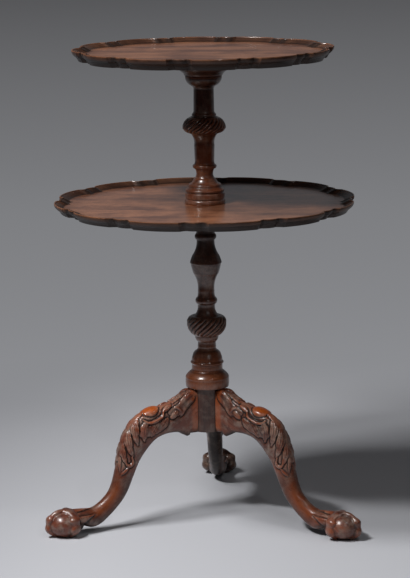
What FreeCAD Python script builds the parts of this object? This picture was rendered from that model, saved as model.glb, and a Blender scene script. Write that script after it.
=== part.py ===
import FreeCAD, Part
import math
import os

# A two-tier tea table on a tripod, in millimetres.
# Z is up, the floor is z = 0, and the turned column stands on the Z axis.
# The back leg points along +Y and the front of the table faces -Y.

V = FreeCAD.Vector
ORIGIN = V(0, 0, 0)
UP = V(0, 0, 1)
DOWN = V(0, 0, -1)
FULL_TURN = 360

# Overall sizes
overall_height = 914.0
lower_rim_height = 625.5
lower_tier_radius = 290.0
upper_tier_radius = 249.0
foot_circle_radius = 307.0

# Dished tiers with a piecrust rim, both carved from one board
rim_depth = 8.5
lower_board_thickness = 10.0
upper_board_thickness = 12.5
rim_undercut = 13.0
rim_lip = 3.2
rim_moulding_width = 17.0
lobe_count = 12
long_lobe_rise = 4.0
scallop_depth = 13.0
short_lobe_rise = 4.0
lower_tier_turn_deg = 285.0
upper_tier_turn_deg = 279.0

# Turned columns
strap_seat_height = 173.0
leg_ring_height = 259.0
lower_column_radius = 42.0
upper_column_radius = 41.6

# Turning joints between the column and the tiers
lower_spigot_radius = 20.0
upper_spigot_radius = 14.0
upper_spigot_length = 23.0
turning_clearance = 0.3
lower_washer_radius = 44.0
lower_washer_thickness = 1.2
upper_washer_radius = 33.0
upper_washer_thickness = 1.0
column_seat_depth = 1.0
column_seat_margin = 1.5
column_tenon_radius = 12.5
column_tenon_length = 46.0
joint_clearance = 0.2

# Boss under the upper tier
boss_height = 31.0
boss_radius = 60.0
boss_flange_thickness = 11.0
boss_neck_radius = 36.2
boss_mortise_radius = 21.0
keeper_washer_radius = 18.0
keeper_washer_thickness = 1.2

# Leg block and its dovetails
block_radius = 34.0
leg_width = 34.0
dovetail_root_width = 12.0
dovetail_end_width = 17.0
dovetail_length = 13.4
dovetail_height = 75.0

# Legs and ball-and-claw feet
leg_azimuths_deg = (210.0, 330.0, 90.0)
knee_width = 38.0
ankle_width = 27.0
foot_width = 44.0
ball_radius = 31.0
ball_height = 48.0
ball_flat_share = 0.96
claw_radius = 7.5
cusp_length = 12.0
cusp_drop = 5.5
cusp_margin = 2.0

# Iron strap under the legs
strap_thickness = 2.5
strap_hub_radius = 24.0
strap_arm_width = 15.0
strap_arm_reach = 44.0
strap_hub_screw_radius = 15.0

# Screws: head radius, shank radius, length and head height
strap_screw = (3.6, 1.9, 19.0, 1.9)
boss_screw = (4.2, 2.2, 19.0, 2.4)
keeper_screw = (5.0, 2.6, 34.0, 2.8)
boss_screw_count = 4
screw_slot_width = 0.8
screw_slot_depth = 0.9
screw_clearance = 0.08
overrun = 2.0

# One repeat of the rim: share taken by the long lobe and by each cove beside it.
long_lobe_share = 0.63
cove_share = 0.08
# Rim mouldings from bottom to top: height share and inset share.
outer_moulding_shares = ((0.00, 1.00), (0.38, 0.62), (0.82, 0.06), (1.00, 0.00))
inner_moulding_shares = ((0.00, 1.00), (0.42, 0.52), (0.72, 0.16), (1.00, 0.00))

# Turned outlines, bottom to top: height share, radius share, and the bulge of the
# stretch that ends there as a share of its length (plus is round, minus is hollow).
lower_column_shares = (
    (0.000, 0.988, 0.00),    # ring above the legs
    (0.046, 1.000, 0.04),
    (0.062, 0.974, 0.12),
    (0.086, 0.776, 0.05),
    (0.106, 0.714, -0.15),
    (0.125, 0.707, 0.00),
    (0.131, 0.736, 0.00),    # thin bead
    (0.142, 0.736, 0.35),
    (0.148, 0.712, 0.00),    # bell
    (0.178, 0.657, 0.05),
    (0.204, 0.490, 0.12),
    (0.226, 0.429, -0.16),
    (0.253, 0.417, -0.03),
    (0.286, 0.543, 0.12),
    (0.289, 0.576, 0.00),    # cup-shaped knop
    (0.359, 0.910, 0.14),
    (0.401, 0.571, 0.26),
    (0.405, 0.538, 0.00),
    (0.466, 0.410, -0.12),
    (0.506, 0.414, 0.28),    # astragal
    (0.541, 0.386, -0.05),
    (0.641, 0.583, -0.09),   # long vase with its arris
    (0.702, 0.719, 0.06),
    (0.742, 0.612, 0.08),
    (0.811, 0.412, -0.07),
    (0.829, 0.410, -0.02),
    (0.864, 0.421, 0.28),    # upper astragal
    (0.911, 0.443, -0.02),
    (0.952, 0.714, -0.20),   # cap below the lower tier
    (0.957, 0.786, 0.00),
    (0.980, 1.107, -0.18),
    (0.984, 1.143, 0.00),
    (1.000, 1.143, 0.00),
)
upper_column_shares = (
    (0.000, 0.894, 0.00),    # plinth
    (0.037, 0.899, 0.16),
    (0.042, 0.861, 0.00),
    (0.047, 0.904, 0.00),
    (0.087, 0.899, 0.05),
    (0.092, 0.839, 0.00),
    (0.097, 0.839, 0.00),
    (0.120, 0.856, 0.40),
    (0.126, 0.808, 0.00),    # bell
    (0.194, 0.514, -0.04),
    (0.204, 0.447, 0.00),
    (0.249, 0.394, -0.10),
    (0.278, 0.462, -0.10),
    (0.311, 0.471, 0.45),    # astragal
    (0.348, 0.452, -0.05),
    (0.458, 0.471, 0.00),
    (0.544, 0.591, -0.10),
    (0.553, 0.635, 0.00),    # flattened knop
    (0.594, 1.000, 0.13),
    (0.680, 0.635, 0.16),
    (0.685, 0.558, 0.00),
    (0.705, 0.548, 0.05),
    (0.721, 0.478, -0.10),
    (0.889, 0.462, 0.00),
    (0.921, 0.536, -0.12),
    (0.965, 0.808, 0.10),
    (0.971, 0.822, 0.00),
    (1.000, 0.837, 0.05),
)
# The boss runs from its neck out to its flange: height share, and radius share of
# the way from neck to flange.
boss_shares = (
    (0.00, 0.00, 0.00),
    (0.19, 0.18, -0.08),
    (0.23, 0.22, 0.00),
    (0.50, 0.48, 0.14),
    (0.55, 0.52, 0.00),
    (0.65, 0.90, -0.10),
    (0.65, 1.00, 0.00),
    (1.00, 1.00, 0.08),
)

# Side outline of a leg. Each row pairs a point on the upper edge with one on the
# lower edge: distance from the block as a share of the way to the foot circle, and
# height as a share of the leg's top or of the strap's seat. The fifth value is the
# place among the four leg widths, and the last is how square the section is.
leg_shares = (
    (0.000, 0.985, 0.000, 0.991, 0.00, 5.0),
    (0.055, 0.980, 0.050, 0.986, 0.00, 5.0),
    (0.110, 0.948, 0.100, 0.993, 0.10, 4.6),
    (0.160, 0.924, 0.140, 1.013, 0.25, 4.2),
    (0.211, 0.902, 0.181, 1.018, 0.45, 3.8),
    (0.265, 0.887, 0.223, 1.013, 0.70, 3.4),
    (0.325, 0.881, 0.263, 0.998, 0.90, 3.1),
    (0.389, 0.860, 0.302, 0.972, 1.00, 2.9),
    (0.447, 0.828, 0.332, 0.941, 1.00, 2.8),
    (0.493, 0.787, 0.359, 0.906, 1.03, 2.7),
    (0.536, 0.727, 0.389, 0.860, 1.10, 2.7),
    (0.567, 0.668, 0.419, 0.810, 1.20, 2.6),
    (0.589, 0.602, 0.448, 0.749, 1.35, 2.6),
    (0.603, 0.524, 0.474, 0.675, 1.55, 2.5),
    (0.614, 0.439, 0.504, 0.576, 1.75, 2.4),
    (0.636, 0.345, 0.542, 0.429, 1.95, 2.3),
    (0.661, 0.287, 0.572, 0.322, 2.00, 2.3),
    (0.705, 0.239, 0.620, 0.221, 2.00, 2.2),
    (0.749, 0.204, 0.671, 0.151, 2.05, 2.2),
    (0.795, 0.182, 0.724, 0.091, 2.25, 2.2),
    (0.857, 0.178, 0.791, 0.058, 2.60, 2.2),
    (0.929, 0.178, 0.886, 0.103, 2.60, 2.2),
)
# The ball's outline turns from its round side into its flatter crown at this angle.
ball_shoulder_deg = 25.0
# Claws over the ball: direction from straight outwards, in degrees.
claw_directions_deg = (0.0, 116.0, 244.0, 180.0)
# Each claw from its root to its tip: angle down from the top of the ball as a share
# of a half turn, and thickness as a share of the claw's radius.
claw_shares = (
    (0.14, 1.00),
    (0.27, 0.84),
    (0.39, 1.15),
    (0.51, 0.86),
    (0.63, 1.06),
    (0.74, 0.74),
    (0.83, 0.40),
)
# Each section is cut into as many edges as this, so that no lofted face closes on itself.
section_quarters = 4
section_points = 16

# Heights that follow from the sizes above
lower_floor_height = lower_rim_height - rim_depth
lower_underside = lower_floor_height - lower_board_thickness
upper_floor_height = overall_height - rim_depth
upper_underside = upper_floor_height - upper_board_thickness
cap_top = lower_underside - lower_washer_thickness
column_seat_height = lower_floor_height - column_seat_depth
column_joint_height = column_seat_height + turning_clearance
boss_underside = upper_underside - boss_height
collar_height = boss_underside - upper_washer_thickness
keeper_height = collar_height + upper_spigot_length
boss_ledge = keeper_height - turning_clearance
block_flat = math.sqrt(block_radius ** 2 - (leg_width / 2) ** 2)
leg_top_height = leg_ring_height - joint_clearance
strap_underside = strap_seat_height - strap_thickness
socket_radius = column_tenon_radius + joint_clearance
leg_reach = foot_circle_radius - block_flat
ball_centre_height = ball_height * ball_flat_share / (1 + ball_flat_share)
ball_half_height = ball_height - ball_centre_height


def polar(radius, angle_deg, height=0.0):
    """Point at a distance and a direction from the Z axis."""
    angle = math.radians(angle_deg)
    return V(radius * math.cos(angle), radius * math.sin(angle), height)


def turned(shares, base, height, radius, inner_radius=0.0):
    """Solid of revolution about Z whose outline is a table of shares."""
    points = [V(inner_radius + (radius - inner_radius) * r, 0, base + height * z) for z, r, _ in shares]
    edges = [Part.makeLine(V(0, 0, points[0].z), points[0])]
    for start, end, row in zip(points, points[1:], shares[1:]):
        chord = end - start
        outwards = V(chord.z, 0, -chord.x)
        if row[2]:
            edges.append(Part.Arc(start, (start + end) / 2 + outwards * row[2], end).toShape())
        else:
            edges.append(Part.makeLine(start, end))
    edges.append(Part.makeLine(points[-1], V(0, 0, points[-1].z)))
    edges.append(Part.makeLine(V(0, 0, points[-1].z), V(0, 0, points[0].z)))
    return Part.Face(Part.Wire(edges)).revolve(ORIGIN, UP, FULL_TURN)


def cylinder(radius, bottom, top, x=0.0, y=0.0):
    """Upright cylinder between two heights."""
    return Part.makeCylinder(radius, top - bottom, V(x, y, bottom))


def ring(outer, inner, bottom, top):
    """Flat upright ring."""
    return cylinder(outer, bottom, top).cut(cylinder(inner, bottom - overrun, top + overrun))


def prism(points, height):
    """Upright prism on a polygon."""
    return Part.Face(Part.makePolygon(points + points[:1])).extrude(UP * height)


def turn_about_z(shape, angle_deg):
    """Copy of a shape turned about the column's axis."""
    copy = shape.copy()
    copy.rotate(ORIGIN, UP, angle_deg)
    return copy


def screw(sizes, place, pointing, clearance=0.0):
    """Countersunk screw, head face at a place; with a clearance it is the screw's hole."""
    head_radius, shank_radius, length, head_height = sizes
    outline = [
        V(0, 0, 0),
        V(head_radius + clearance, 0, 0),
        V(shank_radius + clearance, 0, head_height),
        V(shank_radius + clearance, 0, length - 2 * shank_radius),
        V(0, 0, length + clearance),
    ]
    if clearance:
        outline[0] = V(0, 0, -overrun)
        outline.insert(1, V(head_radius + clearance, 0, -overrun))
    body = Part.Face(Part.makePolygon(outline + outline[:1])).revolve(ORIGIN, UP, FULL_TURN)
    if not clearance:
        corner = V(-head_radius - overrun, -screw_slot_width / 2, -overrun)
        slot_length = 2 * (head_radius + overrun)
        slot = Part.makeBox(slot_length, screw_slot_width, overrun + screw_slot_depth, corner)
        body = body.cut(slot)
    body.Placement = FreeCAD.Placement(place, FreeCAD.Rotation(UP, pointing))
    return body


def scalloped_wire(radius, inset, height, turn_deg):
    """Closed outline of long and short lobes, drawn inwards by an inset."""
    pitch = FULL_TURN / lobe_count
    long_half = pitch * long_lobe_share / 2
    short_half = pitch / 2 - long_half - pitch * cove_share
    outer = radius - inset
    lobe_end = outer - long_lobe_rise
    cusp = outer - scallop_depth
    short_top = cusp + short_lobe_rise
    cove_middle = (lobe_end + 2 * cusp) / 3
    edges = []
    for lobe in range(lobe_count):
        middle = turn_deg + lobe * pitch
        gap = middle + pitch / 2
        lobe_close = middle + long_half
        short_open = gap - short_half
        arcs = (
            ((lobe_end, middle - long_half), (outer, middle), (lobe_end, lobe_close)),
            ((lobe_end, lobe_close), (cove_middle, (lobe_close + short_open) / 2), (cusp, short_open)),
            ((cusp, short_open), (short_top, gap), (cusp, gap + short_half)),
            (
                (cusp, gap + short_half),
                (cove_middle, gap + (short_half + pitch / 2 - long_half) / 2),
                (lobe_end, gap + pitch / 2 - long_half),
            ),
        )
        edges += [Part.Arc(*[polar(r, a, height) for r, a in arc]).toShape() for arc in arcs]
    return Part.Wire(edges)


def dished_tier(radius, underside, floor_height, top, turn_deg):
    """Board with a raised scalloped rim: outer form less the dish."""
    outside = [
        scalloped_wire(radius, rim_undercut * inset, underside + (top - underside) * z, turn_deg)
        for z, inset in outer_moulding_shares
    ]
    dish = [
        scalloped_wire(radius, rim_lip + rim_moulding_width * inset, floor_height + rim_depth * z, turn_deg)
        for z, inset in inner_moulding_shares
    ]
    dish.append(scalloped_wire(radius, rim_lip, top + overrun, turn_deg))
    return Part.makeLoft(outside, True, True).cut(Part.makeLoft(dish, True, True))


def leg_point(out_share, height):
    """Point in the plane of a leg that points along X."""
    return V(block_flat + leg_reach * out_share, 0, height)


def leg_width_at(place):
    """Width between the block, knee, ankle and foot widths; place runs from 0 to 3."""
    widths = (leg_width, knee_width, ankle_width, foot_width)
    index = min(int(place), len(widths) - 2)
    return widths[index] + (widths[index + 1] - widths[index]) * (place - index)


def leg_section(row):
    """Rounded section of a leg between its upper and lower edges."""
    upper_out, upper_up, lower_out, lower_up, width_place, squareness = row
    upper = leg_point(upper_out, leg_top_height * upper_up)
    lower = leg_point(lower_out, strap_seat_height * lower_up)
    middle = (upper + lower) / 2
    arm = (upper - lower) / 2
    half_width = leg_width_at(width_place) / 2
    points = []
    for step in range(section_points):
        angle = 2 * math.pi * step / section_points
        along = math.copysign(abs(math.cos(angle)) ** (2 / squareness), math.cos(angle))
        across = math.copysign(abs(math.sin(angle)) ** (2 / squareness), math.sin(angle))
        points.append(middle + arm * along + V(0, half_width * across, 0))
    curve = Part.BSplineCurve()
    curve.interpolate(Points=points, PeriodicFlag=True)
    step = section_points // section_quarters
    cuts = [curve.parameter(points[n * step]) for n in range(1, section_quarters)]
    cuts = [curve.FirstParameter] + cuts + [curve.LastParameter]
    return Part.Wire([Part.Edge(curve, start, end) for start, end in zip(cuts, cuts[1:])])


def dovetail(clearance):
    """Dovetail key on the inner end of a leg that points along X."""
    root = dovetail_root_width / 2 + clearance
    end = dovetail_end_width / 2 + clearance
    inner = block_flat - dovetail_length - clearance
    outer = block_flat + (overrun if clearance else joint_clearance)
    bottom = strap_seat_height - (overrun if clearance else 0)
    points = [V(inner, -end, bottom), V(inner, end, bottom), V(block_flat, root, bottom)]
    points += [V(outer, root, bottom), V(outer, -root, bottom), V(block_flat, -root, bottom)]
    return prism(points, strap_seat_height + dovetail_height + clearance - bottom)


def oval_point(angle_deg):
    """Point on the ball's oval outline, by angle up from its widest level."""
    angle = math.radians(angle_deg)
    return V(
        foot_circle_radius + ball_radius * math.cos(angle),
        0,
        ball_centre_height + ball_half_height * math.sin(angle),
    )


def ball():
    """Flattened ball of a foot, standing on its own small flat."""
    lowest_deg = -math.degrees(math.asin(ball_centre_height / ball_half_height))
    shoulder_deg = ball_shoulder_deg
    top_deg = FULL_TURN / 4
    foot = V(foot_circle_radius, 0, 0)
    low, shoulder, top = [oval_point(angle) for angle in (lowest_deg, shoulder_deg, top_deg)]
    side = Part.Arc(low, oval_point((lowest_deg + shoulder_deg) / 2), shoulder)
    crown = Part.Arc(shoulder, oval_point((shoulder_deg + top_deg) / 2), top)
    edges = [Part.makeLine(foot, low), side.toShape(), crown.toShape(), Part.makeLine(top, foot)]
    face = Part.Face(Part.Wire(edges))
    face.rotate(foot, UP, claw_directions_deg[1] / 2)
    return face.revolve(foot, UP, FULL_TURN)


def claw_section(place, ahead, side, radius):
    """Round section across the direction ahead, as equal arcs that start at the side."""
    out = side.cross(ahead).normalize()
    points = []
    for step in range(2 * section_quarters):
        angle = math.pi * step / section_quarters
        points.append(place + side * (radius * math.cos(angle)) + out * (radius * math.sin(angle)))
    points.append(points[0])
    arcs = [Part.Arc(*points[2 * n:2 * n + 3]) for n in range(section_quarters)]
    return Part.Wire([arc.toShape() for arc in arcs])


def claw(direction_deg):
    """Jointed claw that grips the ball, thinner between its knuckles."""
    centre = V(foot_circle_radius, 0, ball_centre_height)
    places = []
    for angle_share, _ in claw_shares:
        angle = math.pi * angle_share
        out = polar(ball_radius * math.sin(angle), direction_deg)
        places.append(centre + out + UP * (ball_half_height * math.cos(angle)))
    side = UP.cross(polar(claw_radius, direction_deg)).normalize()
    wires = []
    for index, (_, thickness) in enumerate(claw_shares):
        ahead = places[min(index + 1, len(places) - 1)] - places[max(index - 1, 0)]
        wires.append(claw_section(places[index], ahead, side, claw_radius * thickness))
    return Part.makeLoft(wires, True, False)


def cusp():
    """Small point on a leg's underside, just past the end of the strap."""
    start = strap_arm_reach + turning_clearance
    side = -leg_width / 2 + cusp_margin
    outline = [
        V(start, side, strap_seat_height + cusp_drop),
        V(start, side, strap_underside),
        V(start + cusp_length / 3, side, strap_seat_height - cusp_drop),
        V(start + cusp_length, side, strap_seat_height),
        V(start + cusp_length, side, strap_seat_height + cusp_drop),
    ]
    face = Part.Face(Part.makePolygon(outline + outline[:1]))
    return face.extrude(V(0, leg_width - 2 * cusp_margin, 0))


def leg():
    """One cabriole leg along X: shaft, cusp, dovetail key, ball and claws."""
    shaft = Part.makeLoft([leg_section(row) for row in leg_shares], True, False)
    solid = shaft.fuse([cusp(), dovetail(0), ball()] + [claw(angle) for angle in claw_directions_deg])
    seat_length = strap_arm_reach + turning_clearance - block_flat + overrun
    seat_corner = V(block_flat - overrun, -leg_width, 0)
    strap_seat = Part.makeBox(seat_length, 2 * leg_width, strap_seat_height, seat_corner)
    floor_corner = V(block_flat, -foot_width, -foot_width)
    below_floor = Part.makeBox(leg_reach + foot_width, 2 * foot_width, foot_width, floor_corner)
    return solid.cut([strap_seat, below_floor]).removeSplitter()


def strap():
    """Three-armed iron strap under the block and the legs."""
    hub = cylinder(strap_hub_radius, strap_underside, strap_seat_height)
    half = strap_arm_width / 2
    straight = strap_arm_reach - half
    arm = Part.makeBox(straight, strap_arm_width, strap_thickness, V(0, -half, strap_underside))
    tip = cylinder(half, strap_underside, strap_seat_height, straight)
    arms = [turn_about_z(piece, angle) for angle in leg_azimuths_deg for piece in (arm, tip)]
    return hub.fuse(arms).removeSplitter()


def strap_screws(clearance=0.0):
    """Screws up through the strap: one in each leg, three in the block between them."""
    arm_place = block_flat + (strap_arm_reach - block_flat) / 2
    places = [polar(arm_place, angle, strap_underside) for angle in leg_azimuths_deg]
    between = FULL_TURN / len(leg_azimuths_deg) / 2
    for angle in leg_azimuths_deg:
        places.append(polar(strap_hub_screw_radius, angle + between, strap_underside))
    return [screw(strap_screw, place, UP, clearance) for place in places]


def boss_screws(clearance=0.0):
    """Screws up through the boss's flange into the upper tier."""
    flange_underside = upper_underside - boss_flange_thickness
    circle = boss_radius - 2 * boss_screw[0]
    step = FULL_TURN / boss_screw_count
    places = [polar(circle, step * (n + 1 / 2), flange_underside) for n in range(boss_screw_count)]
    return [screw(boss_screw, place, UP, clearance) for place in places]


def lower_column():
    """Pillar from the leg block up to the tenon that holds the upper column."""
    block = cylinder(block_radius, strap_seat_height, leg_ring_height)
    keep_off = Part.makeBox(
        block_radius,
        2 * block_radius,
        leg_top_height + joint_clearance - strap_seat_height + overrun,
        V(block_flat, -block_radius, strap_seat_height - overrun),
    )
    for angle in leg_azimuths_deg:
        block = block.cut([turn_about_z(keep_off, angle), turn_about_z(dovetail(joint_clearance), angle)])
    shaft = turned(lower_column_shares, leg_ring_height, cap_top - leg_ring_height, lower_column_radius)
    spigot = cylinder(lower_spigot_radius, cap_top, column_joint_height)
    tenon = cylinder(column_tenon_radius, column_joint_height, column_joint_height + column_tenon_length)
    solid = shaft.fuse([block, spigot, tenon])
    return solid.cut(strap_screws(screw_clearance)).removeSplitter()


def upper_column():
    """Column between the tiers, bored for the tenon, with the spigot of the upper tier."""
    height = collar_height - column_joint_height
    shaft = turned(upper_column_shares, column_joint_height, height, upper_column_radius)
    spigot = cylinder(upper_spigot_radius, collar_height, keeper_height)
    socket_top = column_joint_height + column_tenon_length + joint_clearance
    socket = cylinder(socket_radius, column_joint_height - overrun, socket_top)
    keeper_top = V(0, 0, keeper_height + keeper_washer_thickness)
    keeper_hole = screw(keeper_screw, keeper_top, DOWN, screw_clearance)
    return shaft.fuse(spigot).cut([socket, keeper_hole]).removeSplitter()


def boss():
    """Turned boss that carries the upper tier and turns on the column's spigot."""
    body = turned(boss_shares, boss_underside, boss_height, boss_radius, boss_neck_radius)
    bore = cylinder(upper_spigot_radius + turning_clearance, boss_underside - overrun, upper_underside)
    mortise = cylinder(boss_mortise_radius, boss_ledge, upper_underside + overrun)
    return body.cut([bore, mortise] + boss_screws(screw_clearance)).removeSplitter()


def lower_tier():
    """Lower dished tier, bored for the spigot, with a shallow seat round the column."""
    tier = dished_tier(
        lower_tier_radius, lower_underside, lower_floor_height, lower_rim_height, lower_tier_turn_deg
    )
    bore = cylinder(lower_spigot_radius + turning_clearance, lower_underside - overrun, lower_rim_height)
    plinth_radius = upper_column_radius * upper_column_shares[3][1]
    seat = cylinder(plinth_radius + column_seat_margin, column_seat_height, lower_rim_height)
    return tier.cut([bore, seat])


def upper_tier():
    """Upper dished tier with pilot holes for the boss's screws."""
    tier = dished_tier(
        upper_tier_radius, upper_underside, upper_floor_height, overall_height, upper_tier_turn_deg
    )
    return tier.cut(boss_screws(screw_clearance))


def keeper_washer():
    """Washer on top of the spigot that keeps the boss from lifting off."""
    washer = cylinder(keeper_washer_radius, keeper_height, keeper_height + keeper_washer_thickness)
    place = V(0, 0, keeper_height + keeper_washer_thickness)
    return washer.cut(screw(keeper_screw, place, DOWN, screw_clearance))


def parts():
    """Every node of the table by name."""
    cut_leg = leg()
    leg_names = ("leg_front_left", "leg_front_right", "leg_back")
    holes = strap_screws(screw_clearance)
    made = {
        name: turn_about_z(cut_leg, angle).cut(holes) for name, angle in zip(leg_names, leg_azimuths_deg)
    }
    made["lower_column"] = lower_column()
    made["leg_strap"] = strap().cut(holes)
    made["leg_strap_screws"] = Part.makeCompound(strap_screws())
    made["lower_tier_washer"] = ring(
        lower_washer_radius, lower_spigot_radius + turning_clearance, cap_top, lower_underside
    )
    made["lower_tier"] = lower_tier()
    made["upper_column"] = upper_column()
    made["upper_tier_washer"] = ring(
        upper_washer_radius, upper_spigot_radius + turning_clearance, collar_height, boss_underside
    )
    made["upper_tier_boss"] = boss()
    made["boss_screws"] = Part.makeCompound(boss_screws())
    made["keeper_washer"] = keeper_washer()
    made["keeper_screw"] = screw(keeper_screw, V(0, 0, keeper_height + keeper_washer_thickness), DOWN)
    made["upper_tier"] = upper_tier()
    return made


os.makedirs("parts", exist_ok=True)
for name, shape in parts().items():
    shape.exportStep("parts/" + name + ".step")
    box = shape.BoundBox
    print(name, len(shape.Solids), "solid(s)", round(shape.Volume / 1000, 1), "cm3", shape.isValid(),
          "z", round(box.ZMin, 2), round(box.ZMax, 2))
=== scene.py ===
# %% [markdown]
# # A two-tier tea table in carved mahogany
# The stand is a turned column on three cabriole legs. Two round tiers with scalloped "piecrust"
# rims turn on it, so each tier is a body of its own. Each finished piece rides on one of the CAD
# model's bodies. Most are made here again as fine surfaces, because the carving and the softened
# edges of old polished wood are too small for the CAD solids.

# %% Load the fixed frame
import math

import bpy
import numpy as np
from mathutils import Matrix, Vector


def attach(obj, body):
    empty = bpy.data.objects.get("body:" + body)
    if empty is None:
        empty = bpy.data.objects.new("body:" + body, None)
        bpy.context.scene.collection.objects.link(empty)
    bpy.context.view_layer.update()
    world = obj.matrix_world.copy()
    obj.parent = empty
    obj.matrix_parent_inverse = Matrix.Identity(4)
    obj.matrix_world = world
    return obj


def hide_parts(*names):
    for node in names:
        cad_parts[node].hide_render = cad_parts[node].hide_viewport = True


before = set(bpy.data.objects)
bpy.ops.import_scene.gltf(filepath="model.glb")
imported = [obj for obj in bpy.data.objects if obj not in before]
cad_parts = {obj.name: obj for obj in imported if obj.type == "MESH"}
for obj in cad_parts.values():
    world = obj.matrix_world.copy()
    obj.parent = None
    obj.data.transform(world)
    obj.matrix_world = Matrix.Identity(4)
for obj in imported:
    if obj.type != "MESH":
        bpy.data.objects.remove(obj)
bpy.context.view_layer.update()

scene = bpy.context.scene
MM = 0.001

# %% [markdown]
# ## The camera
# The picture was taken from a little above the table, about 4.4 m away with a long lens, which
# keeps the two tiers as flat ovals. A camera could also be aimed at an empty object. Here its
# place, heading, pitch and roll are given, so that each number means something on its own.

# %% Camera
camera_place_mm = (326.2, -4338.5, 1296.0)
camera_heading_deg, camera_pitch_deg, camera_roll_deg = 94.33, 11.01, -0.75
picture_height_px, focal_length_px = 578, 2301
heading, pitch, roll = np.radians([camera_heading_deg, camera_pitch_deg, camera_roll_deg])
camera = bpy.data.objects.new("camera", bpy.data.cameras.new("camera"))
quarter = math.pi / 2
camera.matrix_world = (Matrix.Translation(np.array(camera_place_mm) * MM)
                       @ Matrix.Rotation(heading - quarter, 4, "Z")
                       @ Matrix.Rotation(quarter - pitch, 4, "X") @ Matrix.Rotation(roll, 4, "Z"))
camera.data.sensor_fit = "VERTICAL"
camera.data.sensor_height = 36
camera.data.lens = camera.data.sensor_height * focal_length_px / picture_height_px
camera.data.clip_end = 100
scene.collection.objects.link(camera)
scene.camera = camera
scene.view_settings.view_transform = "Standard"
print("lens:", round(camera.data.lens, 1), "mm")

# %% [markdown]
# ## Colours and nodes
# Colours are written in sRGB, as they look on a screen, and one function turns them into linear
# light. A material could be wired by hand in the shader editor. Written as a list of nodes,
# each with its settings and its links, it can be read from top to bottom and made again.

# %% Helpers for materials
def linear(colour):
    """sRGB hex to linear RGBA: c/12.92 in the darks, ((c+0.055)/1.055)^2.4 above them."""
    c = np.array([int(colour[i:i + 2], 16) for i in (1, 3, 5)]) / 255
    return (*np.where(c > 0.04045, ((c + 0.055) / 1.055) ** 2.4, c / 12.92), 1.0)


def fill(tree, node, settings=None, links=None):
    """A setting is a property, or a socket by name or number. A link feeds a socket from another
    socket, or from a node, which then gives its first output in use."""
    for name, value in (settings or {}).items():
        if isinstance(name, int) or name in node.inputs:
            node.inputs[name].default_value = value
        else:
            setattr(node, name, value)
    for name, source in (links or {}).items():
        if hasattr(source, "outputs"):
            source = next(socket for socket in source.outputs if socket.enabled)
        tree.links.new(source, node.inputs[name])
    return node


def add(tree, kind, settings=None, links=None):
    """Adds a node with its settings and its links."""
    return fill(tree, tree.nodes.new("ShaderNode" + kind), settings, links)


def new_material(name):
    """A material, its node tree and the node of its shader."""
    material = bpy.data.materials.new(name)
    material.use_nodes = True
    return material, material.node_tree, material.node_tree.nodes["Principled BSDF"]


def limits(start, end, low=0.0, high=1.0):
    """Settings of a map from start..end to low..high."""
    return {"From Min": start, "From Max": end, "To Min": low, "To Max": high}


smooth = {"interpolation_type": "SMOOTHSTEP"}
mix = {"data_type": "RGBA"}
product = {"operation": "MULTIPLY"}
print("mahogany red-brown in linear light:", [round(c, 3) for c in linear("#6b3520")[:3]])

# %% [markdown]
# ## Floor and light
# Pale paper carries the table. Near it the paper is lit like any surface and takes the shadows;
# it is a little greyer on the left, as in the picture, which is painted shade. Further off the
# paper is painted nearly black, a painted shade, and the camera and mirror-like rays towards the
# back see a grey glow there instead, which is painted light. A bent sheet would look the same
# from the front, but it would stand in the way of the other views. Two soft boxes stand high on
# the left, as the double shadow tells, a weaker one high on the right, and a small one low in
# front.

# %% Floor
half = 30.0
floor_mesh = bpy.data.meshes.new("floor")
floor_mesh.from_pydata([(-half, -half, 0), (half, -half, 0), (half, half, 0), (-half, half, 0)], [],
                       [(0, 1, 2, 3)])
floor = bpy.data.objects.new("floor", floor_mesh)
scene.collection.objects.link(floor)
paper, tree, shader = new_material("pale_studio_paper")
floor_mesh.materials.append(paper)
place = add(tree, "TexCoord").outputs["Object"]
sideways, depth, _ = add(tree, "SeparateXYZ", None, {0: place}).outputs
far = add(tree, "VectorMath", {"operation": "LENGTH"}, {0: place}).outputs["Value"]
# Painted shade: from 1.3 to 2.0 m off the paper turns nearly black.
beyond = add(tree, "MapRange", {**smooth, **limits(1.3, 2.0)}, {"Value": far})
# Painted shade: the paper is greyer towards the left.
to_left = add(tree, "MapRange", {**smooth, **limits(-0.15, -0.7)}, {"Value": sideways})
paper_with_painted_shade_on_left = add(tree, "Mix", {**mix, 6: linear("#c2c3c8"), 7: linear("#a7a8ad")}, {0: to_left})
paper_with_far_painted_shade = add(tree, "Mix", {**mix, 7: linear("#1c1c1e")}, {0: beyond, 6: paper_with_painted_shade_on_left})
fill(tree, shader, {"Roughness": 0.8, "Specular IOR Level": 0.2}, {"Base Color": paper_with_far_painted_shade})
print("floor:", 2 * half, "m square")

# %% Glow of the far paper, painted light
tens = add(tree, "Math", {"operation": "LOGARITHM", 1: 10.0}, {0: far})
graded = add(tree, "MapRange", {"From Max": 1.3}, {"Value": tens})
greys = add(tree, "ValToRGB", None, {0: graded})
greys.color_ramp.elements.new(0.45)
for element, grey in zip(greys.color_ramp.elements, ("#8e8f93", "#7d7e81", "#4c4c4e")):
    element.color = linear(grey)
glow = add(tree, "Emission", None, {"Color": greys})
rays = add(tree, "LightPath").outputs
behind = add(tree, "MapRange", smooth, {"Value": depth})
mirrored = add(tree, "Math", product, {0: rays["Is Glossy Ray"], 1: behind})
seen = add(tree, "Math", {"operation": "MAXIMUM"}, {0: rays["Is Camera Ray"], 1: mirrored})
away = add(tree, "MapRange", {**smooth, **limits(0.7, 1.5)}, {"Value": far})
share = add(tree, "Math", product, {0: seen, 1: away})
mixed = add(tree, "MixShader", None, {0: share, 1: shader, 2: glow})
fill(tree, tree.nodes["Material Output"], None, {"Surface": mixed})
print("glow from near to far:", [round(e.position, 2) for e in greys.color_ramp.elements])

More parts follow.
